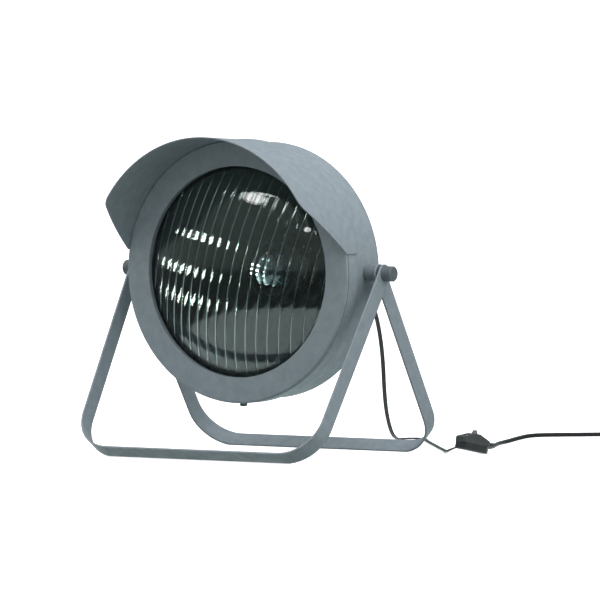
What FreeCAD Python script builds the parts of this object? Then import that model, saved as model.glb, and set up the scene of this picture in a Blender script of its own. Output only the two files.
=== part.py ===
import FreeCAD, Part
import math
import os
import Sketcher

# Tabletop searchlight lamp on two folding U-shaped stands. Millimetres, Z up, the lens faces -Y.
# The origin is on the floor under the pivot. The head tilts and the front stand folds about one axis
# along X, and a clamp knob on each side holds both.

os.makedirs("parts", exist_ok=True)
doc = FreeCAD.newDocument("Searchlight")
Vec = FreeCAD.Vector

# ---- sizes ----

SIZES = [
    ("pivot_height", 196.2), ("stand_lean", 33.0), ("bar_width", 20.0), ("bar_thick", 2.0),
    ("foot_inset", 8.6), ("foot_corner", 44.0), ("foot_facet", 0.45),
    ("stud_radius", 4.0), ("run_gap", 0.08), ("side_gap", 0.1), ("play_gap", 0.1),
    ("drum_radius", 137.0), ("drum_length", 53.8), ("drum_back", 23.2), ("sheet_thick", 1.2),
    ("dome_radius", 186.0), ("land_radius", 46.0), ("dome_hole", 34.0),
    ("can_radius", 36.0), ("can_flange", 44.0), ("can_back", 128.0), ("vent_circle", 26.0),
    ("vent_radius", 2.5),
    ("bezel_step", 3.0), ("bezel_depth", 20.0), ("bezel_lap", 7.8), ("face_width", 27.5),
    ("bezel_round", 2.0), ("lip_depth", 6.0), ("fold_thick", 1.5),
    ("gasket_lip", 1.0), ("glass_rim", 4.0), ("glass_hold", 7.5), ("glass_dome", 213.0),
    ("glass_wall", 4.0), ("flute_pitch", 12.14), ("flute_offset", -4.75), ("flute_round", 16.0),
    ("flute_lean", 12.6),
    ("visor_reach", 67.0), ("visor_flare", 3.35), ("visor_low", 21.4), ("visor_rise", 52.4),
    ("visor_round", 15.0),
    ("spacer_radius", 8.3), ("spacer_length", 14.9), ("washer_radius", 9.0), ("washer_thick", 3.3),
    ("knob_radius", 8.15), ("knob_length", 11.4), ("knob_edge", 0.9), ("screw_head", 4.0),
    ("holder_radius", 20.0), ("holder_length", 46.8), ("socket_depth", 30.0), ("socket_wall", 4.2),
    ("cap_radius", 13.1), ("cap_length", 20.0),
    ("globe_radius", 30.0), ("globe_centre", 34.0), ("nipple_radius", 5.0), ("nut_thick", 4.0),
    ("grip_length", 20.0), ("grip_radius", 7.0),
    ("cord_width", 4.6), ("switch_length", 34.0), ("switch_width", 20.0), ("switch_height", 19.0),
    ("switch_split", 8.0), ("switch_edge", 1.5), ("switch_tilt", 12.0),
    ("coil_radius", 25.0), ("coil_half", 4.7),
    ("plug_length", 34.0), ("plug_width", 26.0), ("plug_height", 13.0), ("pin_radius", 2.0),
    ("pin_length", 19.0), ("pin_spacing", 18.6),
]
sizes = doc.addObject("Spreadsheet::Sheet", "Sizes")
for row, (name, value) in enumerate(SIZES, start=1):
    sizes.set("A%d" % row, name)
    sizes.set("B%d" % row, repr(value))
    sizes.setAlias("B%d" % row, name)
doc.recompute()


class Dim:
    # A number that remembers the spreadsheet expression it comes from.
    def __init__(self, number, text=None):
        self.number = float(number)
        self.text = text if text is not None else repr(float(number))

    def __add__(self, other):
        other = dim(other)
        return Dim(self.number + other.number, "(%s + %s)" % (self.text, other.text))

    def __sub__(self, other):
        other = dim(other)
        return Dim(self.number - other.number, "(%s - %s)" % (self.text, other.text))

    def __mul__(self, other):
        other = dim(other)
        return Dim(self.number * other.number, "(%s * %s)" % (self.text, other.text))

    def __truediv__(self, other):
        other = dim(other)
        return Dim(self.number / other.number, "(%s / %s)" % (self.text, other.text))

    def __neg__(self):
        return Dim(-self.number, "(0 - %s)" % self.text)

    __radd__ = __add__

    def __rmul__(self, other):
        return self * other

    def __rtruediv__(self, other):
        return dim(other) / self

    def __rsub__(self, other):
        return dim(other) - self


def dim(x):
    return x if isinstance(x, Dim) else Dim(x)


def root_of(x):
    return Dim(math.sqrt(x.number), "sqrt(%s)" % x.text)


def sine(x):
    return Dim(math.sin(math.radians(x.number)), "sin(%s * 1deg)" % x.text)


def cosine(x):
    return Dim(math.cos(math.radians(x.number)), "cos(%s * 1deg)" % x.text)


S = {name: Dim(value, "Sizes." + name) for name, value in SIZES}

# Sizes that follow from the ones above, outwards along the pivot and forwards through the bezel.
S["spacer_end"] = S["drum_radius"] + S["spacer_length"]
S["back_half_top"] = S["spacer_end"] + S["side_gap"] + S["bar_thick"]
S["washer_end"] = S["back_half_top"] + S["washer_thick"]
S["front_half_top"] = S["washer_end"] + S["side_gap"] + S["bar_thick"]
S["knob_start"] = S["front_half_top"] + S["side_gap"]
S["knob_end"] = S["knob_start"] + S["knob_length"]
S["foot_half"] = S["front_half_top"] - S["foot_inset"]
S["bezel_radius"] = S["drum_radius"] + S["bezel_step"]
S["sight_radius"] = S["bezel_radius"] - S["face_width"]
S["glass_radius"] = S["sight_radius"] + S["glass_hold"]
S["drum_front"] = S["drum_back"] - S["drum_length"]
S["bezel_back"] = S["drum_front"] + S["bezel_lap"]
S["bezel_front"] = S["bezel_back"] - S["bezel_depth"]
S["lip_back"] = S["bezel_front"] + S["lip_depth"]
S["glass_front"] = S["lip_back"] + S["gasket_lip"]
S["glass_back"] = S["glass_front"] + S["glass_rim"]
S["glass_apex"] = (S["glass_front"] - S["glass_dome"]
                   + root_of(S["glass_dome"] * S["glass_dome"] - S["sight_radius"] * S["sight_radius"]))
S["visor_front"] = S["bezel_front"] - S["visor_reach"]
S["visor_high"] = S["visor_low"] + S["visor_rise"]
S["holder_back"] = S["can_back"] - S["sheet_thick"]
S["holder_front"] = S["holder_back"] - S["holder_length"]
S["nipple_end"] = S["can_back"] + S["nut_thick"]
S["grip_end"] = S["nipple_end"] + S["grip_length"]
S["socket_floor"] = S["holder_front"] + S["socket_depth"]
S["socket_radius"] = S["holder_radius"] - S["socket_wall"]


# ---- building helpers ----

def new_body(label, placement=None, lift=True):
    body = doc.addObject("PartDesign::Body", label)
    body.Label = label
    if placement is not None:
        body.Placement = placement
    if lift:
        body.setExpression("Placement.Base.z", "Sizes.pivot_height")
    return body


def plane_of(body, role):
    return [o for o in body.Origin.OriginFeatures if o.Role == role][0]


def fix_point(sk, geo, pos, x, y):
    for kind, axis, d in (("DistanceX", -2, dim(x)), ("DistanceY", -1, dim(y))):
        if abs(d.number) < 1e-9:
            sk.addConstraint(Sketcher.Constraint("PointOnObject", geo, pos, axis))
            continue
        index = sk.addConstraint(Sketcher.Constraint(kind, -1, 1, geo, pos, d.number))
        if "Sizes" in d.text:
            sk.setExpression("Constraints[%d]" % index, d.text)


def flat_sketch(body, label, role, offset=0.0):
    d = dim(offset)
    sk = body.newObject("Sketcher::SketchObject", label)
    sk.AttachmentSupport = [(plane_of(body, role), "")]
    sk.MapMode = "FlatFace"
    sk.AttachmentOffset = FreeCAD.Placement(Vec(0, 0, d.number), FreeCAD.Rotation())
    if "Sizes" in d.text:
        sk.setExpression("AttachmentOffset.Base.z", d.text)
    return sk


def outline(body, label, role, rows, sk=None, offset=0.0):
    # Closed outline through rows of (x, y) or (x, y, radius): a radius makes the next side an arc,
    # positive when it turns left along the way, negative when it turns right.
    if sk is None:
        sk = flat_sketch(body, label, role, offset)
    first = sk.GeometryCount
    ends = []
    for i, row in enumerate(rows):
        nxt = rows[(i + 1) % len(rows)]
        a = Vec(dim(row[0]).number, dim(row[1]).number, 0)
        b = Vec(dim(nxt[0]).number, dim(nxt[1]).number, 0)
        if len(row) < 3:
            sk.addGeometry(Part.LineSegment(a, b), False)
            ends.append((first + i, 1, 2))
            continue
        r = dim(row[2]).number
        chord = b - a
        half = chord.Length / 2
        rise = math.sqrt(r * r - half * half)
        left = Vec(-chord.y, chord.x, 0).normalize()
        side = 1 if r > 0 else -1
        centre = (a + b) * 0.5 + left * (side * rise)
        t0 = math.atan2(a.y - centre.y, a.x - centre.x)
        t1 = math.atan2(b.y - centre.y, b.x - centre.x)
        circle = Part.Circle(centre, Vec(0, 0, 1), abs(r))
        if side > 0:
            sk.addGeometry(Part.ArcOfCircle(circle, t0, t1 if t1 > t0 else t1 + 2 * math.pi), False)
            ends.append((first + i, 1, 2))
        else:
            sk.addGeometry(Part.ArcOfCircle(circle, t1, t0 if t0 > t1 else t0 + 2 * math.pi), False)
            ends.append((first + i, 2, 1))
    for i, (geo, start, end) in enumerate(ends):
        after, after_start, _ = ends[(i + 1) % len(ends)]
        sk.addConstraint(Sketcher.Constraint("Coincident", geo, end, after, after_start))
    for i, (geo, start, end) in enumerate(ends):
        fix_point(sk, geo, start, rows[i][0], rows[i][1])
        if len(rows[i]) > 2:
            d = dim(rows[i][2])
            index = sk.addConstraint(Sketcher.Constraint("Radius", geo, abs(d.number)))
            if "Sizes" in d.text:
                sk.setExpression("Constraints[%d]" % index, d.text if d.number > 0 else "0 - " + d.text)
    return sk


def ring(body, label, role, x, y, radius, sk=None, offset=0.0):
    if sk is None:
        sk = flat_sketch(body, label, role, offset)
    d = dim(radius)
    centre = Vec(dim(x).number, dim(y).number, 0)
    geo = sk.addGeometry(Part.Circle(centre, Vec(0, 0, 1), d.number), False)
    fix_point(sk, geo, 3, x, y)
    index = sk.addConstraint(Sketcher.Constraint("Radius", geo, d.number))
    if "Sizes" in d.text:
        sk.setExpression("Constraints[%d]" % index, d.text)
    return sk


def spin(body, sk, axis="V_Axis", cut=False, angle=360, middle=False):
    kind = "PartDesign::Groove" if cut else "PartDesign::Revolution"
    feature = body.newObject(kind, sk.Label + "Turn")
    feature.Profile = sk
    feature.ReferenceAxis = (sk, [axis])
    feature.Angle = angle
    feature.Midplane = middle
    sk.Visibility = False
    return feature


def raise_up(body, sk, length, middle=False, reverse=False):
    feature = body.newObject("PartDesign::Pad", sk.Label + "Pad")
    feature.Profile = sk
    d = dim(length)
    feature.Length = d.number
    if "Sizes" in d.text:
        feature.setExpression("Length", d.text)
    feature.SideType = "Symmetric" if middle else "One side"
    feature.Reversed = reverse
    return feature


def cut_out(body, sk, length=None, middle=True, reverse=False):
    doc.recompute()
    before = body.Shape.Volume
    feature = body.newObject("PartDesign::Pocket", sk.Label + "Pocket")
    feature.Profile = sk
    if length is None:
        feature.Type = "ThroughAll"
    else:
        d = dim(length)
        feature.Length = d.number
        if "Sizes" in d.text:
            feature.setExpression("Length", d.text)
    feature.SideType = "Symmetric" if middle else "One side"
    feature.Reversed = reverse
    doc.recompute()
    if body.Shape.Volume > before - 1e-3:
        raise RuntimeError("cut removed nothing: " + sk.Label)
    return feature


def round_edges(body, radius, picker, label):
    doc.recompute()
    names = ["Edge%d" % (i + 1) for i, e in enumerate(body.Shape.Edges) if picker(e)]
    if not names:
        raise RuntimeError("no edge to round: " + label)
    base = body.Tip
    feature = body.newObject("PartDesign::Fillet", label)
    feature.Base = (base, names)
    d = dim(radius)
    feature.Radius = d.number
    if "Sizes" in d.text:
        feature.setExpression("Radius", d.text)
    doc.recompute()
    if "Invalid" in feature.State:
        raise RuntimeError("edges not rounded: " + label)
    return feature


def turned(label, rows, axis="V_Axis", placement=None, lift=True):
    body = new_body(label, placement, lift)
    spin(body, outline(body, label + "Profile", "XY_Plane", rows), axis)
    return body


# ---- lamp head: drum, dome and rear can ----

s = S["sheet_thick"]
drum = turned("drum_shell", [
    (S["drum_radius"] - s, S["drum_front"]), (S["drum_radius"], S["drum_front"]),
    (S["drum_radius"], S["drum_back"]), (S["drum_radius"] - s, S["drum_back"])])
cut_out(drum, ring(drum, "studHoles", "YZ_Plane", 0, 0, S["stud_radius"] + S["play_gap"]))

reach = root_of(S["dome_radius"] * S["dome_radius"] - S["drum_radius"] * S["drum_radius"])
land_reach = root_of(S["dome_radius"] * S["dome_radius"] - S["land_radius"] * S["land_radius"])
land_y = S["drum_back"] + land_reach - reach
inner = S["dome_radius"] - s
inner_rim = root_of(inner * inner - reach * reach)
land_in = S["land_radius"] - 0.5
inner_land_y = S["drum_back"] - reach + root_of(inner * inner - land_in * land_in)
dome = turned("rear_dome", [
    (S["drum_radius"], S["drum_back"], S["dome_radius"]), (S["land_radius"], land_y),
    (S["dome_hole"], land_y), (S["dome_hole"], inner_land_y),
    (land_in, inner_land_y, -inner), (inner_rim, S["drum_back"])])
can = turned("rear_can", [
    (S["can_radius"] - s, land_y), (S["can_flange"], land_y), (S["can_flange"], land_y + s),
    (S["can_radius"], land_y + s), (S["can_radius"], S["can_back"] - 2),
    (S["can_radius"] - 2, S["can_back"]), (S["nipple_radius"] + 0.1, S["can_back"]),
    (S["nipple_radius"] + 0.1, S["holder_back"]), (S["can_radius"] - s, S["holder_back"])])
vent = ring(can, "ventHole", "XZ_Plane", S["vent_circle"], 0, S["vent_radius"])
vent_cut = cut_out(can, vent, None, False, False)
vents = can.newObject("PartDesign::PolarPattern", "ventRing")
vents.Originals = [vent_cut]
vents.Axis = (vent, ["N_Axis"])
vents.Angle = 360
vents.Occurrences = 8
can.Tip = vents

# ---- bezel, glass, gasket and retaining ring ----

b = S["bezel_round"]
bezel = turned("front_bezel", [
    (S["drum_radius"] + S["play_gap"], S["bezel_back"]), (S["bezel_radius"], S["bezel_back"]),
    (S["bezel_radius"], S["bezel_front"] + b, -b), (S["bezel_radius"] - b, S["bezel_front"]),
    (S["sight_radius"], S["bezel_front"]), (S["sight_radius"], S["lip_back"]),
    (S["sight_radius"] + S["fold_thick"], S["lip_back"]),
    (S["sight_radius"] + S["fold_thick"], S["bezel_front"] + S["fold_thick"]),
    (S["drum_radius"] + S["play_gap"], S["bezel_front"] + S["fold_thick"])])
cut_out(bezel, ring(bezel, "screwHole", "XY_Plane", 0, S["bezel_back"] - 6.2,
                    S["screw_head"] / 2 + S["play_gap"]), None, False, False)

gasket = turned("lens_gasket", [
    (S["sight_radius"], S["lip_back"]), (S["glass_radius"] + 2.4, S["lip_back"]),
    (S["glass_radius"] + 2.4, S["glass_back"]), (S["glass_radius"] + 0.2, S["glass_back"]),
    (S["glass_radius"] + 0.2, S["glass_front"]), (S["sight_radius"], S["glass_front"])])

# The outside of the glass is a smooth dome, and its inside carries upright flutes that lean a little.
centre_y = S["glass_apex"] + S["glass_dome"]
glass = new_body("lens_glass", FreeCAD.Placement(
    Vec(0, 0, 0), FreeCAD.Rotation(Vec(0, 1, 0), S["flute_lean"].number)))
glass.setExpression("Placement.Rotation.Angle", "Sizes.flute_lean * 1deg")
spin(glass, outline(glass, "glassProfile", "XY_Plane", [
    (0, S["glass_apex"], S["glass_dome"]), (S["sight_radius"], S["glass_front"]),
    (S["glass_radius"], S["glass_front"]), (S["glass_radius"], S["glass_back"]),
    (0, S["glass_back"])]))
fluted = S["glass_dome"] - S["glass_wall"]
rows = []
for n in range(-9, 11):
    x = S["flute_offset"] + S["flute_pitch"] * n
    rows.append((x, centre_y - root_of(fluted * fluted - x * x), S["flute_round"]))
last_x, first_x = rows[-1][0], rows[0][0]
rows[-1] = (last_x, rows[-1][1])
rows += [(last_x, centre_y - S["glass_dome"] * 0.76), (first_x, centre_y - S["glass_dome"] * 0.76)]
flutes = glass.newObject("Sketcher::SketchObject", "fluteProfile")
flutes.AttachmentSupport = [(plane_of(glass, "XY_Plane"), "")]
flutes.MapMode = "FlatFace"
flutes.AttachmentOffset = FreeCAD.Placement(Vec(0, centre_y.number, 0), FreeCAD.Rotation())
flutes.setExpression("AttachmentOffset.Base.y", centre_y.text)
outline(glass, "", "", [(r[0], r[1] - centre_y) + tuple(r[2:]) for r in rows], flutes)
doc.recompute()
glass_before = glass.Shape.Volume
spin(glass, flutes, "H_Axis", True, 76, True)
doc.recompute()
print("glass volume", round(glass_before), "->", round(glass.Shape.Volume))

retainer = turned("lens_retainer", [
    (S["sight_radius"] - 4.5, S["glass_back"]), (S["drum_radius"], S["glass_back"]),
    (S["drum_radius"], S["drum_front"]), (S["sight_radius"] - 4.5, S["drum_front"])])

screw = new_body("bezel_screw")
sk = outline(screw, "screwProfile", "XZ_Plane", [
    (0, -S["drum_radius"] - 0.2), (S["screw_head"] / 2, -S["drum_radius"] - 0.2),
    (S["screw_head"] / 2, -S["bezel_radius"]), (S["screw_head"], -S["bezel_radius"]),
    (S["screw_head"], -S["bezel_radius"] - 2.6), (S["screw_head"] - 1, -S["bezel_radius"] - 3.5),
    (0, -S["bezel_radius"] - 3.5)], offset=6.2 - S["bezel_back"])
spin(screw, sk, "V_Axis")

# ---- visor: a flared band round the upper half, cut to its slanting ends ----

f = S["bezel_front"]
visor = turned("visor", [
    (S["bezel_radius"], S["bezel_back"]), (S["bezel_radius"], f),
    (S["bezel_radius"] + S["visor_flare"], S["visor_front"]),
    (S["bezel_radius"] + S["visor_flare"] + s, S["visor_front"]),
    (S["bezel_radius"] + s, f), (S["bezel_radius"] + s, S["bezel_back"])])
run_y = f - S["visor_front"]
run_z = S["visor_high"] - S["visor_low"]
run = root_of(run_y * run_y + run_z * run_z)
back_off = S["visor_round"] * run_y / (run + run_z)
low_cut = S["bezel_radius"] + 30
cut_out(visor, outline(visor, "visorEnds", "YZ_Plane", [
    (S["bezel_back"] + 10, -low_cut), (S["bezel_back"] + 10, S["visor_low"]), (f, S["visor_low"]),
    (S["visor_front"] + back_off * run_y / run, S["visor_high"] - back_off * run_z / run,
     -S["visor_round"]),
    (S["visor_front"], S["visor_high"] + back_off),
    (S["visor_front"] - 15, S["visor_high"] + back_off), (S["visor_front"] - 15, -low_cut)]))

# ---- lampholder and bulb ----

h = S["holder_front"]
base = S["socket_floor"]
holder = turned("lampholder_body", [
    (S["socket_radius"], h), (S["holder_radius"], h), (S["holder_radius"], base + 2),
    (S["holder_radius"] - 7, S["holder_back"]), (S["nipple_radius"], S["holder_back"]),
    (S["nipple_radius"], base + 6), (S["nipple_radius"] - 2, base + 6),
    (S["nipple_radius"] - 2, base), (S["socket_radius"], base)])
e = S["cap_radius"]
k = base - 4
shell = turned("lampholder_shell", [
    (e + 0.9, h + 4), (e + 1.7, h + 4), (e + 1.7, base - 1), (S["socket_radius"], base - 1),
    (S["socket_radius"], base), (e + 0.9, base)])
spring = turned("lampholder_contact", [
    (0, k), (4, k), (4, k + 1.2), (8, k + 2.8), (8, base), (3.5, base), (0, k + 1.4)])
cap_end = h + S["cap_length"]
cap = turned("bulb_cap", [
    (e - 0.8, h), (e, h), (e, cap_end), (e - 4.1, cap_end + 4), (4, k), (0, k), (0, k - 1.5),
    (e - 5.1, cap_end + 3), (e - 0.8, cap_end - 0.5)])
g = S["globe_radius"]
m = S["globe_centre"]
neck_r = e - 0.8
side_x = g * 0.72
side_y = m + root_of(g * g - side_x * side_x)
bulb = turned("bulb_glass", [
    (0, m - g, g), (side_x, side_y), (neck_r, h - 2), (neck_r, h + 10), (neck_r - 1.5, h + 10),
    (neck_r - 1.5, h - 3), (g * 0.53, m + g * 0.8), (g * 0.83, m + g * 0.37), (g * 0.93, m),
    (g * 0.8, m - g * 0.5), (g * 0.47, m - g * 0.81), (0, m - g * 0.93)])

nipple = turned("holder_nipple", [
    (S["nipple_radius"] - 1.5, base + 6), (S["nipple_radius"], base + 6),
    (S["nipple_radius"], S["nipple_end"]), (S["nipple_radius"] - 1.5, S["nipple_end"])])
nut = new_body("holder_nut", lift=True)
hexagon = [(S["nipple_radius"] * 1.7 * math.cos(math.radians(60 * n)),
            S["nipple_radius"] * 1.7 * math.sin(math.radians(60 * n))) for n in range(6)]
sk = outline(nut, "nutHex", "XZ_Plane", hexagon, offset=-S["nipple_end"])
ring(nut, "", "", 0, 0, S["nipple_radius"], sk)
raise_up(nut, sk, S["nipple_end"] - S["can_back"])

grip = turned("cord_grip", [
    (0, S["nipple_end"]), (S["grip_radius"], S["nipple_end"]),
    (S["grip_radius"], S["nipple_end"] + 7), (3.8, S["grip_end"]), (0, S["grip_end"])])

# ---- pivot hardware, one set on each side ----

for side, name in ((-1, "left"), (1, "right")):
    turn = FreeCAD.Placement(Vec(0, 0, 0), FreeCAD.Rotation(Vec(0, 0, 1), 0 if side > 0 else 180))
    stud = new_body("pivot_stud_" + name, turn)
    spin(stud, outline(stud, "head" + name, "XY_Plane", [
        (S["drum_radius"] - 7, 0), (S["drum_radius"] - 7, S["stud_radius"] * 2),
        (S["drum_radius"] + 3, S["stud_radius"] * 2), (S["drum_radius"] + 3, 0)]), "H_Axis")
    sk = ring(stud, "wall" + name, "XZ_Plane", 0, 0, S["drum_radius"] - s)
    ring(stud, "", "", 0, 0, S["drum_radius"] + 20, sk)
    cut_out(stud, sk)
    spin(stud, outline(stud, "shank" + name, "XY_Plane", [
        (S["drum_radius"] - 5, 0), (S["drum_radius"] - 5, S["stud_radius"]),
        (S["knob_end"] - 4, S["stud_radius"]), (S["knob_end"] - 4, 0)]), "H_Axis")

    spacer = new_body("pivot_spacer_" + name, turn)
    spin(spacer, outline(spacer, "sleeve" + name, "XY_Plane", [
        (S["drum_radius"] - 5, S["stud_radius"] + S["play_gap"]),
        (S["drum_radius"] - 5, S["spacer_radius"]), (S["spacer_end"], S["spacer_radius"]),
        (S["spacer_end"], S["stud_radius"] + S["play_gap"])]), "H_Axis")
    cut_out(spacer, ring(spacer, "seat" + name, "XZ_Plane", 0, 0, S["drum_radius"]))

    turned("pivot_washer_" + name, [
        (S["back_half_top"], S["stud_radius"] + 0.3), (S["back_half_top"], S["washer_radius"]),
        (S["washer_end"], S["washer_radius"]), (S["washer_end"], S["stud_radius"] + 0.3)],
        "H_Axis", turn)

    k = S["knob_edge"]
    turned("clamp_knob_" + name, [
        (S["knob_start"], S["stud_radius"] + S["run_gap"]), (S["knob_start"], S["knob_radius"]),
        (S["knob_end"] - k, S["knob_radius"]), (S["knob_end"], S["knob_radius"] - k),
        (S["knob_end"], 0), (S["knob_end"] - 3.4, 0),
        (S["knob_end"] - 3.4, S["stud_radius"] + S["run_gap"])],
        "H_Axis", turn)

# ---- stands: flat bar bent into a U, standing on the edge of its foot ----


def stand(label, half_top, lean_sign):
    body = new_body(label, FreeCAD.Placement(
        Vec(0, 0, 0), FreeCAD.Rotation(Vec(-lean_sign, 0, 0), S["stand_lean"].number)))
    body.setExpression("Placement.Rotation.Angle", "Sizes.stand_lean * 1deg")
    length = ((S["pivot_height"] + S["foot_facet"] - S["bar_width"] / 2 * sine(S["stand_lean"]))
              / cosine(S["stand_lean"]))
    top = S["bar_width"] / 2
    t = S["bar_thick"]
    foot = S["foot_half"]
    knee = -S["washer_radius"] - 7
    leg = root_of((half_top - foot) * (half_top - foot) + (length + knee) * (length + knee))
    out = (half_top - foot) / leg
    down = (length + knee) / leg
    bend = S["foot_corner"]
    cut = bend * (1 - out) / down
    side_x = foot + cut * out
    side_z = cut * down - length
    in_x = side_x - t * down
    in_z = side_z + t * out
    sk = outline(body, label + "Bar", "XZ_Plane", [
        (-half_top, top), (-half_top, knee), (-side_x, side_z, bend), (cut - foot, -length),
        (foot - cut, -length, bend), (side_x, side_z), (half_top, knee),
        (half_top, top), (half_top - t, top), (half_top - t, knee), (in_x, in_z, t - bend),
        (foot - cut, t - length), (cut - foot, t - length, t - bend), (-in_x, in_z),
        (t - half_top, knee), (t - half_top, top)])
    raise_up(body, sk, S["bar_width"], True)
    round_edges(body, S["bar_width"] / 2 - 0.05, lambda e: leg_top(e, body), label + "Ends")
    cut_out(body, ring(body, label + "Eye", "YZ_Plane", 0, 0, S["stud_radius"] + S["run_gap"]))
    # The foot rests on its lower edge, worn to a narrow flat.
    edge_y = S["bar_width"] / 2 * lean_sign
    tan_in = sine(S["stand_lean"]) / cosine(S["stand_lean"])
    rise = S["foot_facet"] / cosine(S["stand_lean"])
    reach_in = S["foot_facet"] / sine(S["stand_lean"])
    cut_out(body, outline(body, label + "Flat", "YZ_Plane", [
        (edge_y, rise - length), (edge_y - reach_in * lean_sign, -length),
        (edge_y - (reach_in + 4 / tan_in) * lean_sign, -length - 4),
        (edge_y + 4 * lean_sign, -length - 4),
        (edge_y + 4 * lean_sign, rise - length + tan_in * 4)]))
    return body


def leg_top(edge, body):
    back = body.Placement.inverse()
    pts = [back.multVec(v.Point) for v in edge.Vertexes]
    return (len(pts) == 2 and all(abs(p.z - S["bar_width"].number / 2) < 0.1 for p in pts)
            and abs(pts[0].y - pts[1].y) < 0.1 and abs(pts[0].x - pts[1].x) > 1)


front_frame = stand("front_frame", S["front_half_top"], 1)
back_frame = stand("back_frame", S["back_half_top"], -1)

# ---- switch on the cord: a base, a cover that falls away to both ends, and a lever ----
# The cord holds it tipped up on its end edge.

L = S["switch_length"] / 2
W = S["switch_width"] / 2
low = S["switch_split"]
top = S["switch_height"]
tip = S["switch_tilt"].number
edge = S["switch_edge"].number
lift = (L.number - edge) * math.sin(math.radians(tip)) + edge * (1 - math.cos(math.radians(tip)))


def heights(edge_line, body):
    back = body.Placement.inverse()
    return [back.multVec(v.Point).z for v in edge_line.Vertexes]


switch_at = FreeCAD.Placement(
    Vec(191.5, 121.5, lift),
    FreeCAD.Rotation(Vec(0, 0, 1), 60).multiply(FreeCAD.Rotation(Vec(0, 1, 0), tip)))
lower = new_body("switch_lower", switch_at, False)
raise_up(lower, outline(lower, "lowerPlan", "XY_Plane", [
    (-L, 4 - W), (4 - L, -W), (L - 4, -W), (L, 4 - W), (L, W - 4), (L - 4, W), (4 - L, W),
    (-L, W - 4)]), low)
round_edges(lower, S["switch_edge"], lambda e: all(z < 0.1 for z in heights(e, lower)), "lowerEdge")
upper = new_body("switch_upper", switch_at, False)
raise_up(upper, outline(upper, "upperSide", "XZ_Plane", [
    (-L, low), (L, low), (L, low + 5), (2.5, top), (-2.5, top), (-L, low + 5)]),
    S["switch_width"], True)
round_edges(upper, 3.4, lambda e: max(heights(e, upper)) - min(heights(e, upper)) > 3
            and min(heights(e, upper)) < low.number + 0.1, "upperCorners")
cut_out(upper, outline(upper, "leverSlot", "XY_Plane", [
    (-5, -3), (5, -3), (5, 3), (-5, 3)], offset=top), 7.5, False)
lever = new_body("switch_lever", switch_at, False)
sk = outline(lever, "leverProfile", "XZ_Plane", [
    (-2.2, top - 5), (2.2, top - 5), (2.6, top + 1), (1.6, top + 4), (-0.4, top + 4), (-2, top + 1)])
raise_up(lever, sk, 5.4, True)
for index, (x, y) in enumerate(((-10, 5.2), (-10, -5.2)), start=1):
    cut_out(upper, ring(upper, "screwSeat%d" % index, "XY_Plane", x, y, 2.1, offset=top), 4.2, False)
    pin = new_body("switch_screw_%d" % index, switch_at, False)
    raise_up(pin, ring(pin, "screwHead%d" % index, "XY_Plane", x, y, 1.9, offset=top - 4.2), 1.0)

# ---- cord: straight runs with tangent arcs between them ----


def cord(label, points, limp=False):
    pts = [Vec(*p) for p in points]
    runs = [(pts[i + 1] - pts[i]).Length for i in range(len(pts) - 1)]
    edges = []
    at = pts[0]
    least = 1e9
    for i in range(1, len(pts) - 1):
        u = (pts[i] - pts[i - 1]).normalize()
        v = (pts[i + 1] - pts[i]).normalize()
        turn = u.getAngle(v)
        short = 0.45 * min(runs[i - 1], runs[i])
        least = min(least, short / math.tan(turn / 2))
        a = pts[i] - u * short
        c = pts[i] + v * short
        mid = (u * -1 + v).normalize()
        radius = short / math.tan(turn / 2)
        b = pts[i] + mid * (math.hypot(radius, short) - radius)
        edges.append(Part.LineSegment(at, a).toShape())
        edges.append(Part.Arc(a, b, c).toShape())
        at = c
    edges.append(Part.LineSegment(at, pts[-1]).toShape())
    path = Part.Wire(edges)
    start = (pts[1] - pts[0]).normalize()
    section = Part.Wire([Part.Circle(pts[0], start, S["cord_width"].number / 2).toShape()])
    obj = doc.addObject("Part::Sweep", label)
    spine = doc.addObject("Part::Feature", label + "Path")
    spine.Shape = path
    circle = doc.addObject("Part::Feature", label + "Section")
    circle.Shape = section
    obj.Sections = [circle]
    obj.Spine = (spine, [])
    obj.Solid = True
    obj.Frenet = False
    obj.Label = label
    doc.recompute()
    want = path.Length * math.pi * S["cord_width"].number ** 2 / 4
    print(label, "length %.1f least radius %.1f longest run %.1f volume %.4f of section x length"
          % (path.Length, least, max(runs), obj.Shape.Volume / want))
    for i in range(1, len(runs)):
        ratio = max(runs[i], runs[i - 1]) / min(runs[i], runs[i - 1])
        if ratio > 2.0:
            print("   runs", i - 1, i, "ratio %.2f" % ratio)
    return obj


out_y = S["grip_end"].number
high = S["pivot_height"].number
lie = S["cord_width"].number / 2
cord("cord_hang", [
    (0, out_y, high), (0, out_y + 20, high - 0.8), (0, out_y + 42, high - 9.7),
    (0, out_y + 62, high - 28.2), (0, 229, high - 52.2), (0, 238.5, 116),
    (0, 243.5, 87), (0, 245, 60), (0, 249.5, 36), (-0.4, 258, 19.5), (-1, 268, 9.5),
    (-1.25, 279, 5.9)])
cord("cord_floor", [
    (-1.25, 279, 5.9), (-1.5, 290, lie), (1.6, 302.3, lie), (12.4, 309, lie), (25, 306.4, lie),
    (37, 290, lie), (60, 258.2, lie), (92.6, 214.8, lie), (124.4, 170.4, lie), (149.5, 138.3, lie),
    (163, 116, lie + 0.4), (173, 106, lie + 2.7), tuple(switch_at.multVec(Vec(3 - L.number, 0, 3.5)))])
coil_x = 196.0
coil_y = 478.0
c = S["coil_half"]
r = S["coil_radius"]
join = r.number * math.sqrt(0.5)
cord("cord_lead", [
    tuple(switch_at.multVec(Vec(L.number - 3, 0, 8))), (199, 153, 7.4), (188, 176, 6.4), (172, 205, 5.2),
    (154, 239, 4), (139, 273, 3), (126, 307, lie), (114, 340, lie), (104, 370, lie), (97, 395, lie),
    (98.5, 416, lie), (113, 431, lie), (134, 449, lie), (157, 471, 3),
    (coil_x - join, coil_y + join, c.number)])
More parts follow.
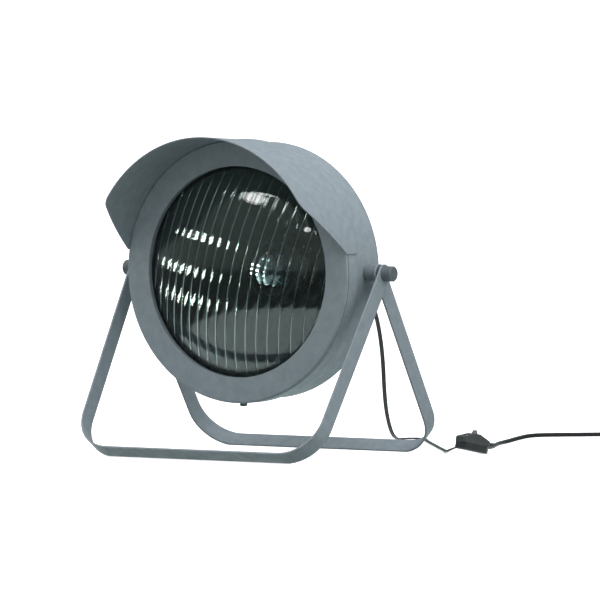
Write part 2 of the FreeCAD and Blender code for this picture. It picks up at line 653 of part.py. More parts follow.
cord("cord_tail", [
    (coil_x + r.number, coil_y - 0.5, c.number), (coil_x + r.number + 1.5, coil_y - 19.5, 3.2),
    (coil_x + 34, coil_y - 36, lie), (coil_x + 49, coil_y - 47, 3), (coil_x + 66, coil_y - 51, 5.2),
    (coil_x + 82, coil_y - 52, 6.5)])

coil_at = FreeCAD.Placement(Vec(coil_x, coil_y, 0), FreeCAD.Rotation())
coil = new_body("cord_coil", coil_at, False)
spin(coil, outline(coil, "coilSection", "XZ_Plane", [
    (r - c + 1.4, 0), (r + c - 1.4, 0), (r + c, 1.4), (r + c, 2 * c - 1.4), (r + c - 1.4, 2 * c),
    (r - c + 1.4, 2 * c), (r - c, 2 * c - 1.4), (r - c, 1.4)]), "V_Axis")

tie = new_body("coil_tie", coil_at, False)
sk = outline(tie, "tieSection", "YZ_Plane", [
    (-r - c - 1.6, 0.2), (-r - c - 1.6, 2 * c + 1.2), (c - r + 1.6, 2 * c + 1.2), (c - r + 1.6, 0.2),
    (c - r + 0.4, 0.2), (c - r + 0.4, 2 * c), (-r - c - 0.4, 2 * c), (-r - c - 0.4, 0.2)])
raise_up(tie, sk, 4.0, True)

# ---- plug, lying flat at the end of the cord ----

plug_at = FreeCAD.Placement(Vec(coil_x + 80, coil_y - 52, 0), FreeCAD.Rotation())
P = S["plug_length"]
H = S["plug_width"] / 2
plug = new_body("plug_body", plug_at, False)
raise_up(plug, outline(plug, "plugPlan", "XY_Plane", [
    (0, -5), (10, -H), (P, -H), (P, H), (10, H), (0, 5)]), S["plug_height"])
round_edges(plug, 3.0, lambda e: all(v.Point.z > 12.9 for v in e.Vertexes)
            and max(v.Point.x for v in e.Vertexes) < coil_x + 80 + P.number - 0.1, "plugTopEdge")
for y, name in ((-1, "left"), (1, "right")):
    pin = new_body("plug_pin_" + name, plug_at, False)
    sk = ring(pin, "pin" + name, "YZ_Plane", y * S["pin_spacing"] / 2, S["plug_height"] / 2,
              S["pin_radius"], offset=P)
    raise_up(pin, sk, S["pin_length"])

# ---- checks and export ----

doc.recompute()
for obj in doc.Objects:
    if "Invalid" in obj.State or "Error" in obj.State:
        raise RuntimeError("not computed: " + obj.Label)

nodes = [o for o in doc.Objects if o.TypeId in ("PartDesign::Body", "Part::Sweep")]
for node in nodes:
    shape = node.Shape
    if shape.isNull() or not shape.isValid() or len(shape.Solids) != 1 or shape.Volume < 1:
        raise RuntimeError("bad shape: " + node.Label)
    if shape.optimalBoundingBox(False, False).ZMin < -0.02:
        raise RuntimeError("below the floor: " + node.Label)
    shape.exportStep("parts/%s.step" % node.Label)
print(len(nodes), "nodes")
for node in nodes:
    box = node.Shape.optimalBoundingBox(False, False)
    print("%-24s %9.0f  x %7.2f %7.2f  y %7.2f %7.2f  z %7.2f %7.2f"
          % (node.Label, node.Shape.Volume, box.XMin, box.XMax, box.YMin, box.YMax, box.ZMin, box.ZMax))
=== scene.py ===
import math

import bmesh
import bpy
from mathutils import Matrix, Quaternion, Vector


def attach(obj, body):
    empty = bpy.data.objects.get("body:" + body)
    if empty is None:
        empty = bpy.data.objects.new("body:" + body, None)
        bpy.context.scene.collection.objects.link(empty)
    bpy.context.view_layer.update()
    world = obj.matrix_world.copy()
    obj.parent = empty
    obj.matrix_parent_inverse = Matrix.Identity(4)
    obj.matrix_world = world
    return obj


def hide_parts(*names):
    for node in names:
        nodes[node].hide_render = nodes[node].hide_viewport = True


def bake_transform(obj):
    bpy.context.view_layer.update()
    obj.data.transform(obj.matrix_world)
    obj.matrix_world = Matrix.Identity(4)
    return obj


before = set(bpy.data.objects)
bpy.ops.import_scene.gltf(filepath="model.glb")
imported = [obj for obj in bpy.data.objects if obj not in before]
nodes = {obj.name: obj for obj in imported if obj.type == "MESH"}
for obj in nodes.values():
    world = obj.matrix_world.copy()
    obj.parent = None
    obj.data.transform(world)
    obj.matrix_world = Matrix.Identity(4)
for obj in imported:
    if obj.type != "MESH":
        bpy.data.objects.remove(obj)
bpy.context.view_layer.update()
mm = 0.001  # shapes are given in millimetres, the stage and the lights in metres
pivotHeight = 196.2  # the axis that the head tilts about, above the table
pivot = Vector((0, 0, pivotHeight)) * mm


def placed(name, data):
    made = bpy.data.objects.new(name, data)
    bpy.context.scene.collection.objects.link(made)
    return made


print("camera")
view = {
    "azimuth": math.radians(32.916),
    "elevation": math.radians(2.453),
    "distance": 8.0,  # metres, so far that the view is nearly parallel
    "focalPixels": 7496,
    "pictureWidth": 600,
    "pivotPixel": (258.583, 270.568),  # where the pivot shows in the render
    "sensor": 36.0,
    "farEnd": 100,  # metres
}
forward = Vector((
    -math.sin(view["azimuth"]) * math.cos(view["elevation"]),
    math.cos(view["azimuth"]) * math.cos(view["elevation"]),
    -math.sin(view["elevation"]),
))
rightward = Vector((math.cos(view["azimuth"]), math.sin(view["azimuth"]), 0))
upward = rightward.cross(forward)
metresPerPixel = view["distance"] / view["focalPixels"]
halfWidth = view["pictureWidth"] / 2
# The camera slides sideways, without turning, until the pivot lands on its pixel.
eye = (
    pivot
    - forward * view["distance"]
    - rightward * (view["pivotPixel"][0] - halfWidth) * metresPerPixel
    + upward * (view["pivotPixel"][1] - halfWidth) * metresPerPixel
)
camera = placed("camera", bpy.data.cameras.new("camera"))
camera.data.lens = view["focalPixels"] * view["sensor"] / view["pictureWidth"]
camera.data.sensor_width = view["sensor"]
camera.data.clip_end = view["farEnd"]
turned = Matrix((rightward, upward, -forward)).transposed()
camera.matrix_world = Matrix.Translation(eye) @ turned.to_4x4()
bpy.context.scene.camera = camera
bpy.context.scene.view_settings.view_transform = "Standard"
bpy.context.scene.cycles.caustics_refractive = False
bpy.context.scene.cycles.sample_clamp_indirect = 40  # lets the panes stay bright through the flutes


def linkNodes(tree, source, target):
    tree.links.new(source, target)


# A value goes to the socket of that name, or else to the node's own setting.
def addNode(tree, kind, **values):
    node = tree.nodes.new(kind)
    for name, value in values.items():
        if name in node.inputs:
            node.inputs[name].default_value = value
        else:
            setattr(node, name, value)
    return node


def mapRange(tree, source, fromEnds=(0.0, 1.0), toEnds=(0.0, 1.0)):
    node = addNode(tree, "ShaderNodeMapRange", **{
        "From Min": fromEnds[0], "From Max": fromEnds[1], "To Min": toEnds[0], "To Max": toEnds[1]})
    linkNodes(tree, source, node.inputs["Value"])
    return node.outputs["Result"]


def calculate(tree, operation, first, second, clamp=False):
    node = addNode(tree, "ShaderNodeMath", operation=operation, use_clamp=clamp)
    linkNodes(tree, first, node.inputs[0])
    linkNodes(tree, second, node.inputs[1])
    return node.outputs["Value"]


def mixColours(tree, factor, first, second):
    node = addNode(tree, "ShaderNodeMix", data_type="RGBA")
    linkNodes(tree, factor, node.inputs["Factor"])
    linkNodes(tree, first, node.inputs["A"])
    linkNodes(tree, second, node.inputs["B"])
    return node.outputs["Result"]


def mixShaders(tree, factor, first, second):
    node = addNode(tree, "ShaderNodeMixShader")
    linkNodes(tree, factor, node.inputs["Fac"])
    linkNodes(tree, first, node.inputs[1])
    linkNodes(tree, second, node.inputs[2])
    return node.outputs["Shader"]


def newGroup(name, inputs, outputs):
    group = bpy.data.node_groups.new(name, "ShaderNodeTree")
    for socket, (kind, value) in inputs.items():
        made = group.interface.new_socket(socket, in_out="INPUT", socket_type=kind)
        made.default_value = value
    for socket, kind in outputs.items():
        group.interface.new_socket(socket, in_out="OUTPUT", socket_type=kind)
    return group, group.nodes.new("NodeGroupInput"), group.nodes.new("NodeGroupOutput")


patchy = {
    "patchEnds": (0.32, 0.68),  # noise that gives the low and the high colour
    "grainEnds": (0.3, 0.7),
    "speckle": 0.12,  # how far the grains shift a patch's colour
    "edgeSamples": 4,
    "edgeRadius": 0.0012,
    "wearEnds": (0.995, 0.9),  # agreement of normals, from no wear to full wear
    "reliefDepth": 0.0002,
}


# Two noises mix two colours, and edges are rubbed where the rounded normal leaves the true one.
def patchyGroup():
    group, start, end = newGroup(
        "PatchyCoat",
        {
            "Low Colour": ("NodeSocketColor", (0.2, 0.2, 0.2, 1)),
            "High Colour": ("NodeSocketColor", (0.3, 0.3, 0.3, 1)),
            "Patches per Metre": ("NodeSocketFloat", 60.0),
            "Grains per Metre": ("NodeSocketFloat", 900.0),
            "Low Roughness": ("NodeSocketFloat", 0.5),
            "High Roughness": ("NodeSocketFloat", 0.7),
            "Relief": ("NodeSocketFloat", 0.2),
            "Edge Wear": ("NodeSocketFloat", 0.0),
            "Wear Colour": ("NodeSocketColor", (0.5, 0.5, 0.5, 1)),
        },
        {"Colour": "NodeSocketColor", "Roughness": "NodeSocketFloat", "Normal": "NodeSocketVector"},
    )
    place = addNode(group, "ShaderNodeTexCoord")
    patches = addNode(group, "ShaderNodeTexNoise", Detail=4.0, Roughness=0.6)
    grains = addNode(group, "ShaderNodeTexNoise", Detail=2.0, Roughness=0.5)
    for noise, scale in ((patches, "Patches per Metre"), (grains, "Grains per Metre")):
        linkNodes(group, place.outputs["Object"], noise.inputs["Vector"])
        linkNodes(group, start.outputs[scale], noise.inputs["Scale"])

    spread = mapRange(group, patches.outputs["Fac"], patchy["patchEnds"])
    speckle = mapRange(
        group, grains.outputs["Fac"], patchy["grainEnds"], (-patchy["speckle"], patchy["speckle"]))
    both = calculate(group, "ADD", spread, speckle, clamp=True)
    coat = mixColours(group, both, start.outputs["Low Colour"], start.outputs["High Colour"])

    rounded = addNode(
        group, "ShaderNodeBevel", samples=patchy["edgeSamples"], Radius=patchy["edgeRadius"])
    flat = addNode(group, "ShaderNodeNewGeometry")
    alike = addNode(group, "ShaderNodeVectorMath", operation="DOT_PRODUCT")
    linkNodes(group, rounded.outputs["Normal"], alike.inputs[0])
    linkNodes(group, flat.outputs["Normal"], alike.inputs[1])
    edge = mapRange(group, alike.outputs["Value"], patchy["wearEnds"])
    rubbed = calculate(group, "MULTIPLY", edge, spread)
    share = calculate(group, "MULTIPLY", rubbed, start.outputs["Edge Wear"])
    worn = mixColours(group, share, coat, start.outputs["Wear Colour"])
    linkNodes(group, worn, end.inputs["Colour"])

    # A high patch is the smoother one.
    shine = addNode(group, "ShaderNodeMapRange")
    linkNodes(group, both, shine.inputs["Value"])
    linkNodes(group, start.outputs["High Roughness"], shine.inputs["To Min"])
    linkNodes(group, start.outputs["Low Roughness"], shine.inputs["To Max"])
    linkNodes(group, shine.outputs["Result"], end.inputs["Roughness"])

    relief = addNode(group, "ShaderNodeBump", Distance=patchy["reliefDepth"])
    linkNodes(group, start.outputs["Relief"], relief.inputs["Strength"])
    linkNodes(group, grains.outputs["Fac"], relief.inputs["Height"])
    linkNodes(group, rounded.outputs["Normal"], relief.inputs["Normal"])
    linkNodes(group, relief.outputs["Normal"], end.inputs["Normal"])
    return group


patchyCoat = patchyGroup()


def newMaterial(name):
    material = bpy.data.materials.new(name)
    material.use_nodes = True
    return material, material.node_tree, material.node_tree.nodes["Principled BSDF"]


def coated(
        name, low, high, patches, grains, rough, relief,
        metallic=0.0, wear=0.0, wearColour=(0.5, 0.5, 0.5)):
    material, tree, shader = newMaterial(name)
    shader.inputs["Metallic"].default_value = metallic
    group = addNode(tree, "ShaderNodeGroup")
    group.node_tree = patchyCoat
    settings = {
        "Low Colour": (*low, 1),
        "High Colour": (*high, 1),
        "Patches per Metre": patches,
        "Grains per Metre": grains,
        "Low Roughness": rough[0],
        "High Roughness": rough[1],
        "Relief": relief,
        "Edge Wear": wear,
        "Wear Colour": (*wearColour, 1),
    }
    for socket, value in settings.items():
        group.inputs[socket].default_value = value
    linkNodes(tree, group.outputs["Colour"], shader.inputs["Base Color"])
    linkNodes(tree, group.outputs["Roughness"], shader.inputs["Roughness"])
    linkNodes(tree, group.outputs["Normal"], shader.inputs["Normal"])
    return material


ripples = {"depth": 0.0002, "deeperTint": 0.94, "hazeEnds": (0.6, 1.4)}


def glassy(name, colour, roughness, ripple, ripplesPerMetre, bending=1.5):
    material, tree, shader = newMaterial(name)
    shader.inputs["Transmission Weight"].default_value = 1.0
    shader.inputs["IOR"].default_value = bending
    place = addNode(tree, "ShaderNodeTexCoord")
    wave = addNode(tree, "ShaderNodeTexNoise", Scale=ripplesPerMetre, Detail=2.0)
    linkNodes(tree, place.outputs["Object"], wave.inputs["Vector"])
    tint = addNode(tree, "ShaderNodeMix", data_type="RGBA")
    tint.inputs["A"].default_value = (*colour, 1)
    tint.inputs["B"].default_value = (*(ripples["deeperTint"] * c for c in colour), 1)
    linkNodes(tree, wave.outputs["Fac"], tint.inputs["Factor"])
    linkNodes(tree, tint.outputs["Result"], shader.inputs["Base Color"])
    haze = mapRange(tree, wave.outputs["Fac"], toEnds=[end * roughness for end in ripples["hazeEnds"]])
    linkNodes(tree, haze, shader.inputs["Roughness"])
    bump = addNode(tree, "ShaderNodeBump", Strength=ripple, Distance=ripples["depth"])
    linkNodes(tree, wave.outputs["Fac"], bump.inputs["Height"])
    linkNodes(tree, bump.outputs["Normal"], shader.inputs["Normal"])
    return material


print("materials")
# low and high colour, patches and grains per metre, roughness from and to, relief
finishes = {
    "blue_grey_paint": coated(
        "blueGreyPaint", (0.226, 0.283, 0.303), (0.272, 0.333, 0.355), 105, 1400, (0.45, 0.62), 0.35,
        wear=0.35, wearColour=(0.42, 0.47, 0.49)),
    "zinc_steel": coated(
        "zincSteel", (0.42, 0.43, 0.44), (0.6, 0.61, 0.62), 160, 2200, (0.25, 0.42), 0.2, metallic=1.0),
    "knob_metal": coated(
        "knobMetal", (0.09, 0.115, 0.122), (0.12, 0.15, 0.157), 120, 1800, (0.42, 0.58), 0.3,
        wear=0.5, wearColour=(0.45, 0.48, 0.5)),
    "gasket_rubber": coated(
        "gasketRubber", (0.015, 0.016, 0.016), (0.03, 0.031, 0.031), 120, 2500, (0.6, 0.8), 0.4),
    "bulb_aluminium": coated(
        "bulbAluminium", (0.55, 0.56, 0.57), (0.7, 0.71, 0.72), 200, 3000, (0.25, 0.4), 0.2, metallic=1.0),
    "ceramic": coated(
        "ceramic", (0.62, 0.6, 0.55), (0.72, 0.7, 0.66), 90, 1500, (0.2, 0.35), 0.15),
    "brass": coated(
        "brass", (0.5, 0.36, 0.14), (0.66, 0.5, 0.22), 180, 2500, (0.28, 0.45), 0.2, metallic=1.0),
    "dark_fibre": coated(
        "darkFibre", (0.045, 0.047, 0.047), (0.065, 0.067, 0.067), 220, 3000, (0.6, 0.8), 0.5),
    "black_plastic": coated(
        "blackPlastic", (0.011, 0.012, 0.012), (0.02, 0.021, 0.022), 140, 2600, (0.35, 0.5), 0.3),
    "grey_plastic": coated(
        "greyPlastic", (0.04, 0.045, 0.046), (0.056, 0.062, 0.063), 140, 2600, (0.4, 0.55), 0.3),
    "cord_rubber": coated(
        "cordRubber", (0.014, 0.015, 0.0155), (0.027, 0.029, 0.03), 240, 3200, (0.32, 0.45), 0.3),
    "lens_glass": glassy("lensGlass", (0.82, 0.94, 0.9), 0.003, 0.02, 60),
    # Painted reflection: the clear bulb glass is tinted blue so that the bulb and its glints take the blue
    # of reflected windows.
    "bulb_glass": glassy("bulbGlass", (0.7, 0.85, 1.0), 0.003, 0.02, 40, 1.68),
}
# Painted shade: a darker copy of the blue-grey paint stands in for the drum's shade on the pivot spacers.
drumShadedPaint = coated(
    "drumShadedPaint", (0.125, 0.157, 0.165), (0.16, 0.195, 0.205), 120, 1800, (0.45, 0.62), 0.3)
glassEdge = coated(
    "glassEdge", (0.075, 0.1, 0.094), (0.1, 0.13, 0.122), 120, 1800, (0.4, 0.55), 0.2)
greyLever = coated(
    "leverPlastic", (0.2, 0.21, 0.21), (0.26, 0.27, 0.27), 140, 2600, (0.4, 0.55), 0.3)
for name, node in nodes.items():
    for place in node.material_slots:
        known = [slot for slot in finishes if place.material and place.material.name.startswith(slot)]
        if known:
            place.material = finishes[known[0]]
        else:
            print("no finish for", name)
# These parts look different from the rest of their slot.
ownFinishes = {
    "switch_lever": greyLever,
    # painted shade: the spacers take the darker copy of the blue-grey paint
    "pivot_spacer_left": drumShadedPaint,
    "pivot_spacer_right": drumShadedPaint,
    "lens_retainer": finishes["knob_metal"],
    "bezel_screw": finishes["knob_metal"],
}
for name, finish in ownFinishes.items():
    nodes[name].material_slots[0].material = finish


def addMesh(name, vertices, faces, body, slot, smooth=True):
    mesh = bpy.data.meshes.new(name)
    mesh.from_pydata([tuple(v) for v in vertices], [], faces)
    mesh.update()
    if smooth:
        mesh.shade_smooth()
    mesh.materials.append(finishes[slot])
    piece = placed(name, mesh)
    if body:
        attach(piece, body)
    return piece


print("cord")
# The route's points, run by run: down from the grip, to the switch, to the coil and to the plug.
hang = [
    (0, 152, 196.2), (0.2, 172, 195.4), (0.8, 194, 186.5), (1.4, 214.5, 168), (2, 230, 144), (2.2, 240, 116),
    (2.2, 245.5, 87), (2.2, 247.5, 60), (2, 251.5, 36), (1.4, 259, 18.5), (0, 268, 7.5), (-1.6, 279, 2),
]
floorRun = [
    (-2.4, 290, 1.3), (-0.6, 301.5, 1.3), (8.6, 308, 1.3), (19, 304, 1.3), (30, 289, 1.3), (54, 257, 1.3),
    (88.8, 213.5, 1.3), (122.6, 170.4, 1.3), (149.5, 138, 1.3), (163, 116, 1.5), (173, 106, 4.4),
    (185, 110.3, 9.6),
]
leadRun = [
    (199.2, 134.8, 8.2), (199, 153, 7.4), (188, 176, 6.4), (172, 205, 5.2), (154, 239, 4), (139, 273, 3),
    (126, 307, 2.5), (114, 340, 2.4), (104, 370, 2.4), (97, 395, 2.4), (98.5, 416, 2.4), (113, 431, 2.4),
    (134, 449, 2.4), (157, 471, 2.4),
]
tailRun = [
    (223, 459.5, 4.2), (230, 442, 2.5), (245, 431, 3), (262, 427, 5.2), (278, 426, 6.5),
]
coil = {
    "centre": (196, 478),
    "rows": [(28.4, 2.4), (25.9, 2.4), (23.4, 2.4), (23.4, 7), (25.9, 7)],  # radius and height of each turn
    "turns": 4.375,
    "pointsPerTurn": 16,
    "firstAngle": math.radians(135),
    "rowChange": 0.2,  # the last part of a turn, in which it moves to the next row
}
cordFacts = {
    "width": 4.6,
    "thickness": 2.3,
    "pinch": 0.28,  # depth of the groove between the two cores
    "pinchWidth": 0.35,
    "length": 1.77,  # metres, as are the places along the cord below
    "onEdge": math.radians(84),  # stands on its edge from edgeFrom to edgeTo
    "edgeFrom": 0.56,
    "edgeTo": 1.64,
    "edgeEase": 0.025,
    "hangTurn": math.radians(-33),  # its turn where it hangs
    "hangFrom": 0.16,
    "hangTo": 0.23,
    "stepsPerSpan": 6,
}


def coilPoint(turn):
    rows = coil["rows"]
    row = min(int(turn), len(rows) - 1)
    nextRow = min(row + 1, len(rows) - 1)
    ease = min(1.0, max(0.0, (turn - row - (1 - coil["rowChange"])) / coil["rowChange"]))
    radius, height = (a + (b - a) * ease for a, b in zip(rows[row], rows[nextRow]))
    angle = coil["firstAngle"] - 2 * math.pi * turn
    return (
        coil["centre"][0] + radius * math.cos(angle),
        coil["centre"][1] + radius * math.sin(angle),
        height,
    )


coilPoints = round(coil["turns"] * coil["pointsPerTurn"])
coilRun = [coilPoint(i / coil["pointsPerTurn"]) for i in range(coilPoints + 1)]
route = hang + floorRun + leadRun + coilRun + tailRun
routeCurve = bpy.data.curves.new("cordRoute", "CURVE")
routeCurve.dimensions = "3D"
routeCurve.resolution_u = cordFacts["stepsPerSpan"]
spline = routeCurve.splines.new("NURBS")
spline.points.add(len(route) - 1)
for point, place in zip(spline.points, route):
    point.co = (*(c * mm for c in place), 1)
spline.order_u = 3
spline.use_endpoint_u = True
routeObject = placed("cordRoute", routeCurve)
bpy.context.view_layer.update()
routeMesh = bpy.data.meshes.new_from_object(
    routeObject.evaluated_get(bpy.context.evaluated_depsgraph_get()))
cordPath = [v.co.copy() for v in routeMesh.vertices]
bpy.data.objects.remove(routeObject)


# The outline of a flat cord with two cores, pinched between them.
def twinSection(width, thickness, count=20):
    core = thickness / 2
    reach = width / 2 - core
    outlinePoints = []
    for i in range(count):
        angle = 2 * math.pi * i / count
        side = math.cos(angle)
        fromMiddle = (side * reach) / (cordFacts["pinchWidth"] * core)
        pinch = 1 - cordFacts["pinch"] * math.exp(-fromMiddle ** 2)
        across = side * core + math.copysign(reach, side) if abs(side) > 1e-9 else 0.0
        outlinePoints.append((across, math.sin(angle) * core * pinch))
    return outlinePoints


def roundSection(radius, count=8):
    return [(radius * math.cos(2 * math.pi * k / count), radius * math.sin(2 * math.pi * k / count))
            for k in range(count)]


def easeBetween(value, start, end):
    share = min(1.0, max(0.0, (value - start) / (end - start)))
    return share * share * (3 - 2 * share)


# How far the cord is turned about its own line at each point.
def edgeTurns(path):
    ease = cordFacts["edgeEase"]
    travelled = 0.0
    turns = []
    for i, point in enumerate(path):
        travelled += (point - path[i - 1]).length if i else 0.0
        rise = easeBetween(travelled, cordFacts["edgeFrom"], cordFacts["edgeFrom"] + ease)
        fall = easeBetween(travelled, cordFacts["edgeTo"], cordFacts["edgeTo"] + ease)
        hanging = 1 - easeBetween(travelled, cordFacts["hangFrom"], cordFacts["hangTo"])
        turns.append(cordFacts["onEdge"] * (rise - fall) + cordFacts["hangTurn"] * hanging)
    return turns


def tubeAlong(path, section, turns=None):
    vertices, faces = [], []
    ring = len(section)
    for i, point in enumerate(path):
        ahead = path[min(i + 1, len(path) - 1)] - path[max(i - 1, 0)]
        ahead.normalize()
        side = ahead.cross(Vector((0, 0, 1))).normalized()
        if turns:
            side = Matrix.Rotation(turns[i], 3, ahead) @ side
        lift = side.cross(ahead).normalized()
        vertices += [point + side * a * mm + lift * b * mm for a, b in section]
    for i in range(len(path) - 1):
        for j in range(ring):
            k = (j + 1) % ring
            faces.append((i * ring + j, i * ring + k, (i + 1) * ring + k, (i + 1) * ring + j))
    faces.append(tuple(range(ring)))
    faces.append(tuple(len(vertices) - ring + j for j in reversed(range(ring))))
    return vertices, faces


cordVertices, cordFaces = tubeAlong(
    cordPath, twinSection(cordFacts["width"], cordFacts["thickness"]), edgeTurns(cordPath))
cord = addMesh("cordFlex", cordVertices, cordFaces, None, "cord_rubber")
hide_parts("cord_hang", "cord_floor", "cord_lead", "cord_coil", "cord_tail")
# With the head tilted fully back the blended part dips below the table.
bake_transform(cord)

print("lens")
lens = {
    "outerRadius": 213.0,
    "innerRadius": 209.0,
    "centreY": 145.07,
    "opening": 112.4,
    "fluteWidth": 12.14,
    "fluteRise": 2.33,
    "fluteShallow": 0.12,  # shares of the rise, in a round and in a flatter hollow
    "fluteSteep": 0.066,
    "firstFlute": -4.75,
    "lean": math.radians(12.6),
    "stepsPerFlute": 10,
    "ridgeWidth": 1.1,
    "ridgeHeight": 0.5,
    "stepsPerRidge": 6,
    "rows": 48,
    "edgeGap": 0.05,  # keeps the outermost column off the opening's edge
    "flangeRadius": 119.8,
    "flangeFront": -35.8,
    "flangeBack": -31.9,
    "flangeInset": 0.1,
}


def fluteDepth(across):
    side = 2 * (((across - lens["firstFlute"]) / lens["fluteWidth"]) % 1.0) - 1
    hollow = lens["fluteRise"] * (
        lens["fluteShallow"] * (1 - side ** 2) + lens["fluteSteep"] * (1 - side ** 4))
    fromCusp = (1 - abs(side)) * lens["fluteWidth"] / lens["ridgeWidth"]
    bead = lens["ridgeHeight"] * math.sqrt(max(0.0, 1 - fromCusp ** 2))
    return hollow - bead


def lensSurface(across, along, inside):
    radius = lens["outerRadius"]
    if inside:
        radius = lens["innerRadius"] + fluteDepth(across)
    x = across * math.cos(lens["lean"]) + along * math.sin(lens["lean"])
    z = -across * math.sin(lens["lean"]) + along * math.cos(lens["lean"])
    y = lens["centreY"] - math.sqrt(radius ** 2 - across ** 2 - along ** 2)
    return Vector((x, y, z + pivotHeight)) * mm


# Columns run along the flutes, closer together on the ridges between them.
def lensColumns():
    width, ridge = lens["fluteWidth"], lens["ridgeWidth"]
    hollow = (width - ridge) / lens["stepsPerFlute"]
    ridgeSteps = lens["stepsPerRidge"]
    shares = [-0.5 * ridge * math.cos(math.pi * k / ridgeSteps) for k in range(ridgeSteps)]
    shares += [0.5 * ridge + k * hollow for k in range(lens["stepsPerFlute"])]
    turns = math.ceil(2 * lens["opening"] / width) + 2
    columns = [lens["firstFlute"] + k * width + share for k in range(-turns, turns) for share in shares]
    return [across for across in columns if abs(across) < lens["opening"] - lens["edgeGap"]]


def lensGrid(mesh, columns, inside):
    grid = []
    for across in columns:
        half = math.sqrt(lens["opening"] ** 2 - across ** 2)
        line = []
        for j in range(lens["rows"] + 1):
            along = half * (2 * j / lens["rows"] - 1)
            line.append(mesh.verts.new(lensSurface(across, along, inside)))
        grid.append(line)
    for i in range(len(grid) - 1):
        for j in range(lens["rows"]):
            corners = [grid[i][j], grid[i + 1][j], grid[i + 1][j + 1], grid[i][j + 1]]
            face = mesh.faces.new(corners if not inside else corners[::-1])
            face.smooth = True
    return grid


def sharpen(mesh, pairs):
    for a, b in pairs:
        edge = mesh.edges.get((a, b))
        if edge:
            edge.smooth = False


# The ridges' two sides stay crisp.
def sharpenRidges(mesh, grid, columns):
    width, ridge = lens["fluteWidth"], lens["ridgeWidth"]
    tolerance = 0.01
    for line, across in zip(grid, columns):
        fromCusp = (across - lens["firstFlute"] + 0.5 * ridge) % width
        if min(fromCusp, abs(fromCusp - ridge), width - fromCusp) < tolerance:
            sharpen(mesh, zip(line, line[1:]))


def gridRim(grid):
    return (grid[0] + [line[-1] for line in grid[1:]] + grid[-1][-2::-1]
            + [line[0] for line in grid[-2:0:-1]])


def flutedLens():
    columns = lensColumns()
    mesh = bmesh.new()
    outerGrid = lensGrid(mesh, columns, False)
    innerGrid = lensGrid(mesh, columns, True)
    sharpenRidges(mesh, innerGrid, columns)
    outerRim = gridRim(outerGrid)
    rings = [outerRim]
    # A flange round the rim joins the two surfaces.
    for radius, y in (
            (lens["flangeRadius"], lens["flangeFront"]), (lens["flangeRadius"], lens["flangeBack"]),
            (lens["opening"] + lens["flangeInset"], lens["flangeBack"])):
        ring = []
        for corner in outerRim:
            away = Vector((corner.co.x, 0, corner.co.z - pivotHeight * mm)).normalized()
            ring.append(mesh.verts.new(Vector((0, y * mm, pivotHeight * mm)) + away * radius * mm))
        rings.append(ring)
    rings.append(gridRim(innerGrid))
    for a, b in zip(rings, rings[1:]):
        for i in range(len(a)):
            k = (i + 1) % len(a)
            face = mesh.faces.new((a[i], b[i], b[k], a[k]))
            face.smooth = True
            face.material_index = 1
    for ring in rings:
        sharpen(mesh, zip(ring, ring[1:] + ring[:1]))
    bmesh.ops.recalc_face_normals(mesh, faces=mesh.faces)
    made = bpy.data.meshes.new("lensFluted")
    mesh.to_mesh(made)
    mesh.free()
    made.materials.append(finishes["lens_glass"])
    made.materials.append(glassEdge)
    return placed("lensFluted", made)


lensPiece = flutedLens()
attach(lensPiece, "head")
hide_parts("lens_glass")


# Turns a profile of radius and y about the head's own axis.
def spun(profile, count=64):
    vertices, faces = [], []
    for radius, y in profile:
        for j in range(count):
            angle = 2 * math.pi * j / count
            vertices.append(
                Vector((radius * math.cos(angle), y, pivotHeight + radius * math.sin(angle))) * mm)
    for i in range(len(profile) - 1):
        for j in range(count):
            k = (j + 1) % count
            faces.append((i * count + j, i * count + k, (i + 1) * count + k, (i + 1) * count + j))
    return vertices, faces


print("bulb")
bulb = {
    "globe": 30.0,
    "globeY": 34.0,
    "neck": 12.6,
    "neckY": 79.8,
    "wall": 0.6,
    "firstAngle": 0.5,  # degrees from the globe's front
    "stepAngle": 5.6,
    "globeSteps": 25,
    "neckSteps": 10,
}


def globeProfile(inset):
    profile = []
    radius = bulb["globe"] - inset
    for i in range(bulb["globeSteps"]):
        angle = math.radians(bulb["firstAngle"] + i * bulb["stepAngle"])
        profile.append((radius * math.sin(angle), bulb["globeY"] - radius * math.cos(angle)))
    last = profile[-1]
    neck = bulb["neck"] - inset
    for i in range(1, bulb["neckSteps"] + 1):
        t = i / bulb["neckSteps"]
        s = easeBetween(t, 0, 1)
        profile.append((last[0] + (neck - last[0]) * s, last[1] + (bulb["neckY"] - last[1]) * t))
    return profile


outerGlobe, innerGlobe = globeProfile(0), globeProfile(bulb["wall"])
globeVertices, globeFaces = spun(outerGlobe + innerGlobe[::-1])
globe = addMesh("bulbGlobe", globeVertices, globeFaces, "head", "bulb_glass")
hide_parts("bulb_glass")

filament = {
    "stem": [(9.5, 79), (7, 70), (3.2, 62), (2.6, 54), (4, 51)],
    "stemSides": 24,
    "wires": [(3, 53), (6, 44), (11, 38)],
    "wireRadius": 0.35,
    "halfSpan": 10,
    "coilRadius": 1.1,
    "coilTurns": 9,
    "coilY": 37,
    "stepsPerTurn": 12,
    "thread": 0.16,
    "threadSides": 6,
}
stemVertices, stemFaces = spun(filament["stem"], filament["stemSides"])
addMesh("bulbStem", stemVertices, stemFaces, "head", "bulb_glass")
for side, name in ((-1, "Left"), (1, "Right")):
    wire = [Vector((side * x, y, pivotHeight)) * mm for x, y in filament["wires"]]
    wireMesh = tubeAlong(wire, roundSection(filament["wireRadius"]))
    addMesh("supportWire" + name, *wireMesh, "head", "zinc_steel")
winding = []
windingSteps = filament["coilTurns"] * filament["stepsPerTurn"]
for k in range(windingSteps + 1):
    angle = 2 * math.pi * k / filament["stepsPerTurn"]
    winding.append(Vector((
        filament["halfSpan"] * (2 * (k / windingSteps) - 1),
        filament["coilY"] + filament["coilRadius"] * math.sin(angle),
        pivotHeight + filament["coilRadius"] * math.cos(angle))) * mm)
thread = roundSection(filament["thread"], filament["threadSides"])
addMesh("filamentCoil", *tubeAlong(winding, thread), "head", "zinc_steel")


